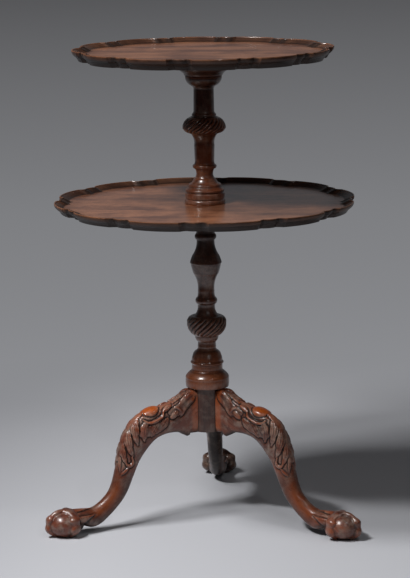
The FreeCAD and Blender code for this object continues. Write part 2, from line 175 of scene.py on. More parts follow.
# %% Room
# A dark room, with a lit band of wall behind the table that the polished tops reflect.
world = bpy.data.worlds.new("studio")
scene.world = world
world.use_nodes = True
tree = world.node_tree
direction = add(tree, "TexCoord").outputs["Generated"]
_, forwards, upwards = add(tree, "SeparateXYZ", None, {0: direction}).outputs
overhead = add(tree, "MapRange", {"From Max": 0.5}, {"Value": upwards})
room = add(tree, "Mix", {**mix, 6: linear("#303133"), 7: linear("#161617")}, {0: overhead})
rising = add(tree, "MapRange", {**smooth, **limits(0.06, 0.18)}, {"Value": upwards})
fading = add(tree, "MapRange", {**smooth, **limits(0.55, 0.3)}, {"Value": upwards})
back = add(tree, "MapRange", {**smooth, **limits(0.1, 0.6)}, {"Value": forwards})
band = add(tree, "Math", product, {0: rising, 1: fading})
wall = add(tree, "Math", product, {0: band, 1: back})
studio = add(tree, "Mix", {**mix, 7: linear("#6c6d70")}, {0: wall, 6: room})
fill(tree, tree.nodes["Background"], None, {"Color": studio})
print("room:", len(tree.nodes), "nodes")

# %% Soft boxes
# Bearing from the camera in degrees, distance, height, width and tallness in m, and watts.
soft_boxes = {
    "left_soft_box": (-44.8, 1.55, 2.21, 0.42, 0.16, 36),
    "far_left_soft_box": (-65.1, 1.72, 3.29, 0.65, 0.45, 63),
    "right_soft_box": (38, 1.66, 2.63, 0.14, 0.30, 5.5),
    "front_right_soft_box": (18, 2.6, 1.9, 0.12, 0.20, 4.5),
}
aim = Vector((0, 0, 0.5))
for name, (bearing, distance, height, width, tall, power) in soft_boxes.items():
    angle = heading + math.pi + math.radians(bearing)
    place = Vector((distance * math.cos(angle), distance * math.sin(angle), height))
    lamp = bpy.data.lights.new(name, "AREA")
    lamp.shape, lamp.size, lamp.size_y, lamp.energy = "RECTANGLE", width, tall, power
    box = bpy.data.objects.new(name, lamp)
    facing = (place - aim).to_track_quat("Z", "Y")
    box.matrix_world = Matrix.Translation(place) @ facing.to_matrix().to_4x4()
    scene.collection.objects.link(box)
    print(name, "at", np.round(place, 2), "m")

# %% [markdown]
# ## Surfaces from arrays
# A shape could be modelled by hand, or cut and bevelled with modifiers. Here every new piece is
# a grid of points from a formula, rows along the piece and columns around it, so each size can
# be changed by its number. The helper makes a closed mesh of it and turns the faces outwards by
# the sign of the enclosed volume. Attributes go with the points. One darkens the wood where
# polish and dust stay dark, and also where shade is painted; one makes it warm and light where
# hands have rubbed it, and also where light and highlights are painted; and one, on the legs
# alone, lays a grey veil of wax and of painted sheen on the carving.

# %% Grid to piece
def closed_piece(name, points, material, body, slot, *nodes, ring=False, sharp_deg=40, **attributes):
    """Points (rows, columns, 3) in mm. Quads join (i, j), (i, j+1), (i+1, j+1), (i+1, j). Each
    end row is closed on its mean point, or with ring the last row meets the first. The piece
    rides on its body, and the CAD parts of the nodes are hidden."""
    rows, columns = points.shape[:2]
    number = np.arange(rows * columns).reshape(rows, columns)
    if ring:
        number = np.vstack([number, number[:1]])
    beside = np.roll(number, -1, axis=1)
    quads = np.stack([number[:-1], beside[:-1], beside[1:], number[1:]], axis=-1).reshape(-1, 4)
    places = points.reshape(-1, 3)
    triangles = np.zeros((0, 3), int)
    if not ring:
        places = np.vstack([places, points[0].mean(axis=0), points[-1].mean(axis=0)])
        first, last = np.full(columns, rows * columns), np.full(columns, rows * columns + 1)
        start = np.stack([beside[0], number[0], first], axis=-1)
        end = np.stack([number[-1], beside[-1], last], axis=-1)
        triangles = np.vstack([start, end])
        attributes = {key: np.append(values.ravel(), [values[0].mean(), values[-1].mean()])
                      for key, values in attributes.items()}
    faces = np.vstack([quads[:, [0, 1, 2]], quads[:, [0, 2, 3]], triangles])
    a, b, c = places[faces].transpose(1, 0, 2)
    volume = np.einsum("ij,ij->", a, np.cross(b, c)) / 6
    if volume < 0:
        quads, triangles = quads[:, ::-1], triangles[:, ::-1]
    mesh = bpy.data.meshes.new(name)
    mesh.from_pydata((places * MM).tolist(), [], quads.tolist() + triangles.tolist(), shade_flat=False)
    for key, values in attributes.items():
        layer = mesh.attributes.new(key, "FLOAT", "POINT")
        layer.data.foreach_set("value", values.astype(np.float32).ravel())
    mesh.set_sharp_from_angle(angle=math.radians(sharp_deg))
    mesh.materials.append(material)
    piece = bpy.data.objects.new(name, mesh)
    scene.collection.objects.link(piece)
    print(name, "triangles:", 2 * len(quads) + len(triangles), "cm3:", round(abs(volume) / 1000, 1))
    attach(piece, body)
    if nodes:
        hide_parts(*nodes)


# %% Soft steps, blurs and round rows
def ramp(x, start, end):
    """Smooth step: 0 before start, 1 after end, 3t^2 - 2t^3 between."""
    t = np.clip((x - start) / (end - start), 0, 1)
    return t * t * (3 - 2 * t)


def between(x, start, full, falling, end):
    """Smooth rise from start to full, and smooth fall from falling to end."""
    return ramp(x, start, full) * (1 - ramp(x, falling, end))


def blurred(field, passes):
    """A field averaged passes times with its neighbours; its columns wrap round."""
    for _ in range(passes):
        above, below = np.roll(field, 1, axis=0), np.roll(field, -1, axis=0)
        above[0], below[-1] = field[0], field[-1]
        field = (2 * field + above + below + np.roll(field, 1, axis=1) + np.roll(field, -1, axis=1)) / 6
    return field


def swept(radii, angle, heights):
    """Points (x, y, z) of the radii at their angles and heights."""
    return np.stack([radii * np.cos(angle), radii * np.sin(angle), 0 * radii + heights], axis=-1)


print("a smooth step at a quarter and a half:", ramp(np.array([0.25, 0.5]), 0, 1))

# %% [markdown]
# ## Old mahogany
# Mahogany is a red-brown hardwood with short dark pores and soft lighter bands along the
# grain. Old wax and French polish (shellac rubbed on in thin coats) give it a clear coat,
# nearly black where polish has gathered and orange-red where it is rubbed. A picture of wood
# would need a seam somewhere; noise drawn out along the grain has none and cuts through a piece
# as real grain does. The pores are drawn about 1 mm wide, as fine as the picture can show.

# %% Bare wood
# Widths in mm of the light and dark figure, the fine bands, the pores, the waves that the
# plane left, the patches of thin polish and the bloom of old wax.
figure_mm, band_mm, pore_mm, wave_mm, patch_mm, bloom_mm = 45.45, 5.263, 1.0526, 33.33, 76.92, 18.18


def bare_wood(tree, place, dark, light, grain_turn, stretch, mottle):
    """Colour, pores and waves. The noises lie along the turned Z axis and are 1/stretch times
    as long there; grain_turn is in degrees about X, Y and Z. The colour goes from dark to light
    with the sum of figure, bands and mottle * patches."""
    turned = add(tree, "Mapping", {"vector_type": "TEXTURE", "Rotation": tuple(np.radians(grain_turn))},
                 {"Vector": place})
    along = add(tree, "Mapping", {"Scale": (1, 1, stretch)}, {"Vector": turned})
    figure = add(tree, "TexNoise", {"Scale": 1000 / figure_mm, "Detail": 4, "Roughness": 0.55,
                                    "Distortion": 0.8}, {"Vector": along})
    bands = add(tree, "TexNoise", {"Scale": 1000 / band_mm, "Detail": 3, "Roughness": 0.6},
                {"Vector": along})
    pores = add(tree, "TexNoise", {"Scale": 1000 / pore_mm, "Detail": 1}, {"Vector": along})
    waves = add(tree, "TexNoise", {"Scale": 1000 / wave_mm, "Detail": 2}, {"Vector": turned})
    patches = add(tree, "TexNoise", {"Scale": 1000 / patch_mm, "Detail": 3, "Roughness": 0.6},
                  {"Vector": place})
    tone = add(tree, "MapRange", limits(0.3, 0.72), {"Value": figure})
    fine = add(tree, "MapRange", limits(0.25, 0.75, -0.3, 0.3), {"Value": bands})
    uneven = add(tree, "MapRange", limits(0.35, 0.65, -mottle, mottle), {"Value": patches})
    streaks = add(tree, "Math", {"operation": "ADD"}, {0: tone, 1: fine})
    lightness = add(tree, "Math", {"operation": "ADD", "use_clamp": True}, {0: streaks, 1: uneven})
    wood = add(tree, "Mix", {**mix, 6: linear(dark), 7: linear(light)}, {0: lightness})
    return wood, pores, waves


print("pores in a metre:", round(1000 / pore_mm))

# %% Wax and painted sheen, wear and painted light, pores, dirt and painted shade
# The dark colour is for dirt and painted shade, the grey for old wax and painted sheen.
wax_and_sheen_grey, pore_dark, grime_and_shade = "#8b7568", "#140805", "#120906"


def patina_and_painted_light(tree, place, wood, pores, rubbed_and_lit, haze):
    """Over the wood come, in this order: a grey veil of haze * bloom, plus bloom * the wax and
    painted sheen; the rubbed colour, by the wear and painted light; the dark pores; and the dark
    colour, by the dirt and painted shade."""
    waxed, worn, hollow = [add(tree, "Attribute", {"attribute_name": name}).outputs["Fac"]
                           for name in ("waxed", "worn", "hollow")]
    bloom = add(tree, "TexNoise", {"Scale": 1000 / bloom_mm, "Detail": 4, "Roughness": 0.65},
                {"Vector": place})
    thick = add(tree, "MapRange", limits(0.45, 0.75, 0, haze), {"Value": bloom})
    broken = add(tree, "MapRange", limits(0.35, 0.6), {"Value": bloom})
    veil = add(tree, "Math", {"operation": "MULTIPLY_ADD", "use_clamp": True},
               {0: waxed, 1: broken, 2: thick})
    veiled = add(tree, "Mix", {**mix, 7: linear(wax_and_sheen_grey)}, {0: veil, 6: wood})
    bright = add(tree, "Mix", {**mix, 7: linear(rubbed_and_lit)}, {0: worn, 6: veiled})
    pitted = add(tree, "MapRange", limits(0.30, 0.40, 0.45), {"Value": pores})
    speckled = add(tree, "Mix", {**mix, 6: linear(pore_dark)}, {0: pitted, 7: bright})
    aged_and_shaded = add(tree, "Mix", {**mix, 7: linear(grime_and_shade)}, {0: hollow, 6: speckled})
    return aged_and_shaded, hollow


print("colours of wax, pores and dirt:", wax_and_sheen_grey, pore_dark, grime_and_shade)

# %% French-polished mahogany
polish_ior, coat_share_in_hollows = 1.5, 0.3


def mahogany(name, dark, light, rubbed_and_lit, grain_turn, stretch, coat, mottle, haze=0.0,
             coat_roughness=0.18):
    """Aged wood under a clear coat, which is thinner where the wood is darkened: in the hollows,
    where no cloth polishes it, and under the painted shade. mottle is the strength of the patches
    of thin polish, and haze that of the old wax."""
    material, tree, shader = new_material(name)
    place = add(tree, "TexCoord").outputs["Object"]
    wood, pores, waves = bare_wood(tree, place, dark, light, grain_turn, stretch, mottle)
    aged_and_shaded, hollow = patina_and_painted_light(tree, place, wood, pores, rubbed_and_lit, haze)
    rough = add(tree, "MapRange", {"To Min": 0.34, "To Max": 0.6}, {"Value": hollow})
    coated = add(tree, "MapRange", {"To Min": coat, "To Max": coat_share_in_hollows * coat},
                 {"Value": hollow})
    low = add(tree, "Bump", {"Strength": 0.6, "Distance": 0.6 * MM}, {"Height": waves})
    high = add(tree, "Bump", {"Strength": 0.35, "Distance": 0.2 * MM}, {"Height": pores, "Normal": low})
    fill(tree, shader, {"IOR": polish_ior, "Specular IOR Level": 0.25, "Coat IOR": polish_ior,
                        "Coat Roughness": coat_roughness},
         {"Base Color": aged_and_shaded, "Roughness": rough, "Coat Weight": coated, "Normal": high})
    return material


column_wood = mahogany("mahogany_french_polished_column", "#331a11", "#683824", "#8a4a26", (0, 0, 0),
                       stretch=0.05, coat=1.0, mottle=0.3, haze=0.6, coat_roughness=0.24)
tier_wood = mahogany("mahogany_figured_board", "#603a29", "#9a674a", "#8a5732", (0, 90, 0),
                     stretch=0.12, coat=0.7, mottle=0.42)
print("materials:", [m.name for m in bpy.data.materials])

# %% [markdown]
# ## The piecrust tiers
# Each tier is one board, turned on a lathe to leave a raised rim. The rim was then carved into
# twelve long lobes with a small lobe between each two. A curve object with a bevel could carry
# the moulding round it, but every line of it follows the same outline, only further in, so one
# function gives the outline and a short table gives the section of the rim.

# %% Outline of the rim
lobe_count, long_lobe_share, cove_share = 12, 0.63, 0.08
long_lobe_rise, scallop_depth, short_lobe_rise = 4.0, 13.0, 4.0
lobe_pitch = 360 / lobe_count
long_half, cove = lobe_pitch * long_lobe_share / 2, lobe_pitch * cove_share
short_half = lobe_pitch / 2 - long_half - cove


def piecrust_radius(angle_deg, radius, turn_deg):
    """Long lobe R - rise*(a/half)^2; a hollow cove falls from its end to the cusp as a parabola
    through a third of the way; the short lobe stands on the cusp as another parabola."""
    a = np.abs((angle_deg - turn_deg + lobe_pitch / 2) % lobe_pitch - lobe_pitch / 2)
    end, cusp = radius - long_lobe_rise, radius - scallop_depth
    t = np.clip((a - long_half) / cove, 0, 1)
    middle = (end + 2 * cusp) / 3
    falling = end * (1 - t) * (1 - 2 * t) + 4 * middle * t * (1 - t) + cusp * t * (2 * t - 1)
    long_lobe = radius - long_lobe_rise * (a / long_half) ** 2
    short_lobe = cusp + short_lobe_rise * (1 - ((lobe_pitch / 2 - a) / short_half) ** 2)
    return np.where(a < long_half, long_lobe, np.where(a < long_half + cove, falling, short_lobe))


def rim_angles(turn_deg):
    """Angles round the tier, with one on every end of a lobe and of a cove. Each stretch of a
    lobe is (start, span, number of columns)."""
    stretches = ((-long_half, 2 * long_half, 26), (long_half, cove, 9),
                 (long_half + cove, 2 * short_half, 16), (lobe_pitch - long_half - cove, cove, 9))
    one = np.concatenate([start + span * np.arange(n) / n for start, span, n in stretches])
    return (turn_deg + one[None, :] + lobe_pitch * np.arange(lobe_count)[:, None]).ravel()


print("radius at a lobe and at a cusp:", piecrust_radius(np.array([0.0, 12.0]), 290, 0))

# %% [markdown]
# The section goes up the undercut outer side, over a narrow rounded lip, and down an ogee to
# the floor of the dish. The rows near the middle are plain circles.

# %% Lofting a tier
rim_depth, rim_undercut, rim_lip, rim_moulding_width = 8.5, 13.0, 3.2, 17.0
rim_width = rim_lip + rim_moulding_width
outer_section_shares = ((0, 1.12), (0, 1.03), (0.02, 1), (0.1, 0.93), (0.22, 0.82), (0.33, 0.7),
                        (0.4, 0.58), (0.43, 0.55), (0.45, 0.46), (0.54, 0.3), (0.64, 0.17), (0.74, 0.08),
                        (0.82, 0.045), (0.9, 0.02), (0.95, 0.03))
lip_shares = ((1, 0.22), (1, 0.4), (1, 0.75), (0.94, 0.93), (0.86, 1))
inner_section_shares = ((0.8, 0.02), (0.77, 0.05), (0.76, 0.09), (0.74, 0.14), (0.68, 0.22), (0.58, 0.32),
                        (0.46, 0.43), (0.34, 0.53), (0.24, 0.62), (0.15, 0.71), (0.08, 0.8), (0.03, 0.89),
                        (0, 0.98), (0, 1.06))
rim_darkening, corner_darkening, painted_shade_on_side, painted_shade_in_cusps, lip_wear_and_glint, rim_sharp_deg = 0.78, 0.25, 0.4, 0.35, 0.4, 32


def tier(name, radius, underside, floor_height, turn_deg, inner_rows, under_rows, ring=False):
    """inner_rows and under_rows are circles (radius, height) that end the dish and the underside.
    The rows of the section follow the piecrust outline, and two rows mix outline and circle."""
    top = floor_height + rim_depth
    scalloped = [(rim_undercut * inset, underside + (top - underside) * z)
                 for z, inset in outer_section_shares]
    scalloped += [(rim_lip * inset, floor_height + rim_depth * z) for z, inset in lip_shares]
    scalloped += [(rim_lip + rim_moulding_width * inset, floor_height + rim_depth * z)
                  for z, inset in inner_section_shares]
    inset, height = np.array(scalloped).T
    angle_deg = rim_angles(turn_deg)
    edge = piecrust_radius(angle_deg, radius, turn_deg)
    radii = edge[None, :] - inset[:, None]
    fade = np.array([0.35, 0.7])[:, None]
    dish, below = [np.repeat([[r] for r, _ in rows], len(edge), axis=1)
                   for rows in (inner_rows, under_rows)]
    radii = np.vstack([below[::-1], ((1 - fade) * radii[0] + fade * below[0])[::-1], radii,
                       (1 - fade) * radii[-1] + fade * dish[0], dish])
    heights = np.concatenate([[z for _, z in under_rows][::-1], [underside] * 2, height,
                              [floor_height] * 2, [z for _, z in inner_rows]])[:, None]
    a = np.radians(angle_deg)
    points = swept(radii, a, heights)
    from_edge = edge - radii
    above = heights > floor_height - 0.01
    corner = np.exp(-((from_edge - rim_width) / 5) ** 2) * above
    side = ~above * ramp(heights, top, underside)
    cusp = ramp(radius - edge, 7, scallop_depth) * (from_edge < rim_width)
    rim = 1 - ramp(from_edge, rim_width - 3, rim_width + 2)
    lip = np.exp(-((from_edge - rim_lip / 2) / 1.6) ** 2) * (heights > top - 1.5)
    # The rim and the corner at its foot are darker. The outer side, darker towards the underside, the
    # underside itself and the darker cusps are painted shade; the lip is lighter, with rubbed wear and a
    # painted glint.
    hollow = rim_darkening * rim * (1 - 0.8 * lip) + corner_darkening * corner + painted_shade_on_side * side + painted_shade_in_cusps * cusp
    closed_piece(name + "_piecrust", points, tier_wood, name + "_body", "mahogany_tier", name, ring=ring,
                 sharp_deg=rim_sharp_deg, hollow=np.clip(hollow, 0, 0.95), worn=lip_wear_and_glint * lip)


# %% Lower and upper tier
lower_radius, lower_turn_deg, upper_radius, upper_turn_deg = 290.0, 285.0, 249.0, 279.0
lower_floor, lower_underside, spigot_radius, clearance = 617.0, 607.0, 20.0, 0.3
seat_radius, seat_depth = 39.1, 1.0
bore = spigot_radius + clearance
tier("lower_tier", lower_radius, lower_underside, lower_floor, lower_turn_deg,
     [(190, lower_floor), (100, lower_floor), (seat_radius, lower_floor),
      (seat_radius, lower_floor - seat_depth), (bore, lower_floor - seat_depth)],
     [(200, lower_underside), (100, lower_underside), (bore, lower_underside)], ring=True)

upper_floor, upper_underside = 905.5, 893.0
tier("upper_tier", upper_radius, upper_underside, upper_floor, upper_turn_deg,
     [(160, upper_floor), (80, upper_floor), (8, upper_floor)],
     [(170, upper_underside), (80, upper_underside), (8, upper_underside)])

# %% [markdown]
# ## The turned columns
# A turner works to a profile: beads, hollows, bells and vases between sharp little fillets.
# The Screw modifier could spin a drawn curve; a table of heights and radii, with the bulge of
# each stretch, keeps every bead at its measured height. Each stretch becomes an arc. The points
# are then spread by how much the line bends, so a plain taper has few rows and a bead has many.

# %% Profile of a turning
arris_passes = 6


def arc_outline(shares, base, height, radius, inner=0.0):
    """Arcs through the table's points. For a bulge b the half angle is 2*atan(2b) and a point at
    the angle q lies sin(q)/(2 sin(half)) along the chord and (cos(q)-cos(half))/(2 sin(half)) off it."""
    z, r, bulge = np.array(shares).T
    points = np.column_stack([inner + (radius - inner) * r, base + height * z])
    line = [points[:1]]
    for start, end, b in zip(points[:-1], points[1:], bulge[1:]):
        chord = end - start
        outwards = np.array([chord[1], -chord[0]])
        count = max(2, int(np.linalg.norm(chord) / 0.25))
        t = np.arange(1, count + 1) / count
        half = 2 * math.atan(2 * b) if b else 1e-4
        q = half * (2 * t - 1)
        along = np.sin(q) / (2 * math.sin(half))
        off = (np.cos(q) - math.cos(half)) / (2 * math.sin(half))
        line.append((start + end) / 2 + along[:, None] * chord + off[:, None] * outwards)
    return np.vstack(line)


def softened(line):
    """Rounds the arrises a little, as wear does: each point moves to (before + 2 own + after)/4."""
    for _ in range(arris_passes):
        line = np.vstack([line[:1], (line[:-2] + 2 * line[1:-1] + line[2:]) / 4, line[-1:]])
    return line


def spread(line, step, bend_deg):
    """New points at equal amounts of length/step + bending/bend_deg along the line."""
    move = np.diff(line, axis=0)
    length = np.linalg.norm(move, axis=1)
    bearing = np.unwrap(np.arctan2(move[:, 1], move[:, 0]))
    bend = np.degrees(np.abs(np.gradient(bearing)))
    amount = np.concatenate([[0], np.cumsum(length / step + bend / bend_deg)])
    at = np.linspace(0, amount[-1], int(amount[-1]) + 2)
    return np.column_stack([np.interp(at, amount, values) for values in line.T])


print("points of a half-round bead 4 mm high:", len(arc_outline(((0, 1, 0), (1, 1, 0.5)), 0, 4, 10)))

# %% Sweeping a profile
# A point 0.9 mm under its blurred surroundings is fully dirty, and one 1.6 mm over them fully worn.
dirt_depth, wear_height, patina_passes, turning_wear = 0.9, 1.6, 14, 0.8
from_below, to_above = (-2, -1), (2000, 2001)


def swirl(heights, angle, low, high, count, twist_deg, depth):
    """Rope carving between two heights: -depth * (1 - |sin(count/2 (angle + twist))|^0.8), where
    the twist grows with height, faded out at both ends."""
    rise = (heights - low) / (high - low)
    phase = count / 2 * (angle[None, :] + math.radians(twist_deg) * rise[:, None])
    fade = between(rise, 0.0, 0.16, 0.84, 1.0)
    return -depth * fade[:, None] * (1 - np.abs(np.sin(phase)) ** 0.8)


def turned_piece(node, line, body, rope=None, painted_light_zones=(), grime_and_shade=(), columns=216, ring=False):
    """Sweeps a profile (radius, height) round Z. rope gives the numbers for swirl; the two other
    lists are zones of height (amount, start, full, falling, end): the first adds painted light to
    the rubbed colour, the second painted shade and other darkening to the dark one."""
    angle = 2 * np.pi * np.arange(columns) / columns
    radii = np.repeat(line[:, :1], columns, axis=1)
    if rope:
        radii = radii + swirl(line[:, 1], angle, *rope)
    above = radii - blurred(radii, patina_passes)
    heights = line[:, 1:]
    hollow = np.clip(-above / dirt_depth, 0, 0.95) + sum(a * between(heights, *zone) for a, *zone in grime_and_shade)
    worn = (turning_wear * np.clip(above / wear_height, 0, 1)
            + sum(a * between(heights, *zone) for a, *zone in painted_light_zones))
    points = swept(radii, angle, heights)
    closed_piece(node + "_turned", points, column_wood, body, "mahogany_stand", node, ring=ring,
                 hollow=np.clip(hollow, 0, 1), worn=np.clip(worn, 0, 1))


print("rope carving at a crest and in a groove:",
      swirl(np.array([0.5]), np.array([np.pi / 2, 0]), 0, 1, 2, 0, 2.8))

# %% Lower column, from the ring above the legs to the tenon
leg_ring_height, cap_top = 259.0, 605.8
lower_column_radius, column_joint_height = 42.0, 616.3
tenon_radius, tenon_length = 12.5, 46.0
lower_column_shares = (
    (0, 0.988, 0), (0.046, 1, 0.04), (0.062, 0.974, 0.12), (0.086, 0.776, 0.05),
    (0.106, 0.714, -0.15), (0.125, 0.707, 0), (0.131, 0.736, 0), (0.142, 0.736, 0.35),
    (0.148, 0.712, 0), (0.178, 0.657, 0.05), (0.204, 0.49, 0.12), (0.226, 0.429, -0.16),
    (0.253, 0.417, -0.03), (0.286, 0.543, 0.12), (0.289, 0.576, 0), (0.359, 0.91, 0.14),
    (0.401, 0.571, 0.26), (0.405, 0.538, 0), (0.466, 0.41, -0.12), (0.506, 0.414, 0.28),
    (0.541, 0.386, -0.05), (0.641, 0.583, -0.09), (0.697, 0.7, 0.02), (0.698, 0.728, 0),
    (0.704, 0.728, 0), (0.742, 0.612, 0.02), (0.811, 0.412, -0.07), (0.829, 0.41, -0.02),
    (0.864, 0.421, 0.28), (0.911, 0.443, -0.02), (0.952, 0.714, -0.2), (0.957, 0.786, 0),
    (0.98, 1.107, -0.18), (0.984, 1.143, 0), (1, 1.143, 0))
lower_height = cap_top - leg_ring_height
line = softened(arc_outline(lower_column_shares, leg_ring_height, lower_height, lower_column_radius))
inside = [(spigot_radius, cap_top), (spigot_radius, column_joint_height),
          (tenon_radius, column_joint_height), (tenon_radius, column_joint_height + tenon_length)]
line = np.vstack([spread(line, 1.8, 9), inside])
knop_low, knop_high = leg_ring_height + 0.289 * lower_height, leg_ring_height + 0.401 * lower_height
# Painted light makes the base lighter and painted shade darkens the column under the tier; the knop is
# darker too.
strips, twist_deg, depth, painted_light_on_base, painted_shade_under_tier, knop_darkening = 20, -62, 2.8, 0.45, 0.6, 0.35
turned_piece("lower_column", line, "stand",
             rope=(knop_low, knop_high, strips, twist_deg, depth),
             painted_light_zones=[(painted_light_on_base, *from_below, 290, 400)],
             grime_and_shade=[(painted_shade_under_tier, 470, 560, *to_above),
                   (knop_darkening, knop_low, knop_low + 12, knop_high - 6, knop_high + 6)])

# %% Upper column, between the tiers
collar_height, upper_column_radius = 861.0, 41.6
upper_spigot_radius, upper_spigot_length, joint_clearance = 14.0, 23.0, 0.2
upper_column_shares = (
    (0, 0.894, 0), (0.037, 0.899, 0.16), (0.042, 0.861, 0), (0.047, 0.904, 0),
    (0.087, 0.899, 0.05), (0.092, 0.839, 0), (0.097, 0.839, 0), (0.12, 0.856, 0.4),
    (0.126, 0.808, 0), (0.14, 0.742, 0), (0.162, 0.652, 0.3), (0.166, 0.622, 0),
    (0.194, 0.514, -0.04), (0.204, 0.447, 0), (0.249, 0.394, -0.1),
    (0.278, 0.462, -0.1), (0.311, 0.471, 0.45), (0.348, 0.452, -0.05), (0.458, 0.471, 0),
    (0.544, 0.591, -0.1), (0.553, 0.635, 0), (0.594, 1, 0.13), (0.68, 0.635, 0.16),
    (0.685, 0.558, 0), (0.705, 0.548, 0.05), (0.721, 0.478, -0.1), (0.889, 0.462, 0),
    (0.921, 0.536, -0.12), (0.965, 0.808, 0.1), (0.971, 0.822, 0), (1, 0.837, 0.05))
upper_height = collar_height - column_joint_height
line = softened(arc_outline(upper_column_shares, column_joint_height, upper_height, upper_column_radius))
socket_radius = tenon_radius + joint_clearance
socket_top = column_joint_height + tenon_length + joint_clearance
line = np.vstack([[(socket_radius, socket_top), (socket_radius, column_joint_height)],
                  spread(line, 1.5, 7), [(upper_spigot_radius, collar_height),
                   (upper_spigot_radius, collar_height + upper_spigot_length)]])
knop_low = column_joint_height + 0.553 * upper_height
knop_high = column_joint_height + 0.68 * upper_height
# Painted light makes the foot a little lighter and the stem lighter, and painted shade darkens the column
# under the upper tier.
strips, twist_deg, depth, painted_light_on_foot, painted_light_on_stem, painted_shade_under_tier = 24, -55, 2.3, 0.1, 0.35, 0.45
turned_piece("upper_column", line, "stand",
             rope=(knop_low, knop_high, strips, twist_deg, depth),
             painted_light_zones=[(painted_light_on_foot, *from_below, 650, 700), (painted_light_on_stem, 655, 680, 700, 760)],
             grime_and_shade=[(painted_shade_under_tier, 750, 850, *to_above)])

# %% [markdown]
# The boss under the upper tier is bored through, so its profile is a closed loop.

# %% Boss under the upper tier
boss_height, boss_radius, boss_neck_radius, boss_mortise_radius = 31.0, 60.0, 36.2, 21.0
boss_ledge = collar_height + upper_spigot_length - clearance
boss_shares = ((0, 0, 0), (0.19, 0.18, -0.08), (0.23, 0.22, 0), (0.5, 0.48, 0.14),
               (0.55, 0.52, 0), (0.65, 0.9, -0.1), (0.65, 1, 0), (1, 1, 0.08))
# Painted shade darkens the whole boss, under the upper tier.
boss_underside, boss_bore, painted_shade_on_boss = upper_underside - boss_height, upper_spigot_radius + clearance, 0.6
line = softened(arc_outline(boss_shares, boss_underside, boss_height, boss_radius, boss_neck_radius))
line = np.vstack([[(boss_bore, boss_ledge), (boss_bore, boss_underside)], spread(line, 1.2, 7),
                  [(boss_mortise_radius, upper_underside), (boss_mortise_radius, boss_ledge)]])
turned_piece("upper_tier_boss", line, "upper_tier_body",
             grime_and_shade=[(painted_shade_on_boss, *from_below, *to_above)], columns=144, ring=True)

# %% [markdown]
# ## The block between the legs
# Below the ring the column is a round block with three flats, where the legs are dovetailed
# in. Only the strips between the legs show.

# %% Leg block
leg_azimuths_deg = (210.0, 330.0, 90.0)
block_radius, leg_width, strap_seat_height = 34.0, 34.0, 173.0
block_flat = math.sqrt(block_radius ** 2 - (leg_width / 2) ** 2)
angle_deg = np.arange(0, 360, 2.0)
from_leg = np.radians((angle_deg[:, None] - np.array(leg_azimuths_deg) + 180) % 360 - 180)
flats = np.where(np.cos(from_leg) > 0.1, block_flat / np.maximum(np.cos(from_leg), 0.1), block_radius)
outline = np.minimum(flats.min(axis=1), block_radius)
rows = np.array([(0.975, 0.0), (1.0, 1.2), (1.0, 20), (1.0, 45), (1.0, 70),
                 (1.0, leg_ring_height - strap_seat_height)])
radii = rows[:, :1] * outline
points = swept(radii, np.radians(angle_deg), strap_seat_height + rows[:, 1:])
seam = np.exp(-((np.abs(from_leg).min(axis=1) - np.radians(31)) / 0.05) ** 2)
closed_piece("leg_block_turned", points, column_wood, "stand", "mahogany_stand",
             hollow=0.35 + 0.4 * seam * np.ones_like(radii), worn=0 * radii)

# %% [markdown]
# ## The cabriole legs
# A cabriole leg is sawn from a thick plank in an S and rounded by hand. A subdivided box would
# be the usual start, but the S has to follow the picture closely, so a table gives its upper
# and lower edge in the leg's own plane, and how square each section is. The shaft is up to 5 mm
# fuller than the CAD solid, as the picture shows it. Two numbers place the carving on it: u is
# the way along the upper edge, and v is the way round the section from the middle of the top.

# %% Smooth rows
def smooth_rows(knots, values, at):
    """Cubic Hermite through rows of values: the slope at a knot is the local difference."""
    slopes = np.gradient(values, knots, axis=0)
    k = np.clip(np.searchsorted(knots, at, side="right") - 1, 0, len(knots) - 2)
    step = (knots[k + 1] - knots[k])[:, None]
    t = (at - knots[k])[:, None] / step
    return ((1 + 2 * t) * (1 - t) ** 2 * values[k] + t * (1 - t) ** 2 * step * slopes[k]
            + t * t * (3 - 2 * t) * values[k + 1] + t * t * (t - 1) * step * slopes[k + 1])


print("half way up a curve from 0 to 1:",
      smooth_rows(np.arange(3.0), np.eye(3)[:, 1:2], np.array([0.5]))[0])

# %% Surface of a leg
# Each row of the table: upper edge out and up, lower edge out and up, as shares; the place
# between the widths; and the power n of the section.
foot_circle_radius = 307.0
leg_reach = foot_circle_radius - block_flat
leg_top_height = leg_ring_height - joint_clearance
leg_widths = (leg_width, 38.0, 27.0, 44.0)
leg_shares = (
    (0, 0.985, 0, 0.991, 0, 5), (0.055, 0.98, 0.05, 0.986, 0, 5),
    (0.11, 0.948, 0.1, 0.993, 0.1, 4.6), (0.16, 0.924, 0.14, 1.013, 0.25, 4.2),
    (0.211, 0.902, 0.181, 1.018, 0.45, 3.8), (0.265, 0.887, 0.223, 1.013, 0.7, 3.4),
    (0.325, 0.881, 0.263, 0.998, 0.9, 3.1), (0.387, 0.86, 0.301, 0.972, 1, 2.9),
    (0.441, 0.828, 0.328, 0.941, 1, 2.8), (0.482, 0.787, 0.351, 0.906, 1.03, 2.7),
    (0.522, 0.727, 0.377, 0.86, 1.1, 2.7), (0.551, 0.668, 0.403, 0.809, 1.18, 2.6),
    (0.575, 0.602, 0.431, 0.746, 1.3, 2.6), (0.594, 0.524, 0.455, 0.668, 1.45, 2.5),
    (0.611, 0.439, 0.484, 0.561, 1.62, 2.4), (0.636, 0.345, 0.526, 0.412, 1.75, 2.3),
    (0.662, 0.287, 0.567, 0.314, 1.85, 2.3), (0.705, 0.239, 0.621, 0.221, 1.95, 2.2),
    (0.749, 0.204, 0.671, 0.151, 2.05, 2.2), (0.795, 0.182, 0.724, 0.091, 2.25, 2.2),
    (0.857, 0.178, 0.791, 0.058, 2.6, 2.2), (0.929, 0.178, 0.886, 0.103, 2.6, 2.2))
leg_columns, carved_step, plain_step, carved_to = 224, 0.75, 1.5, 232.0


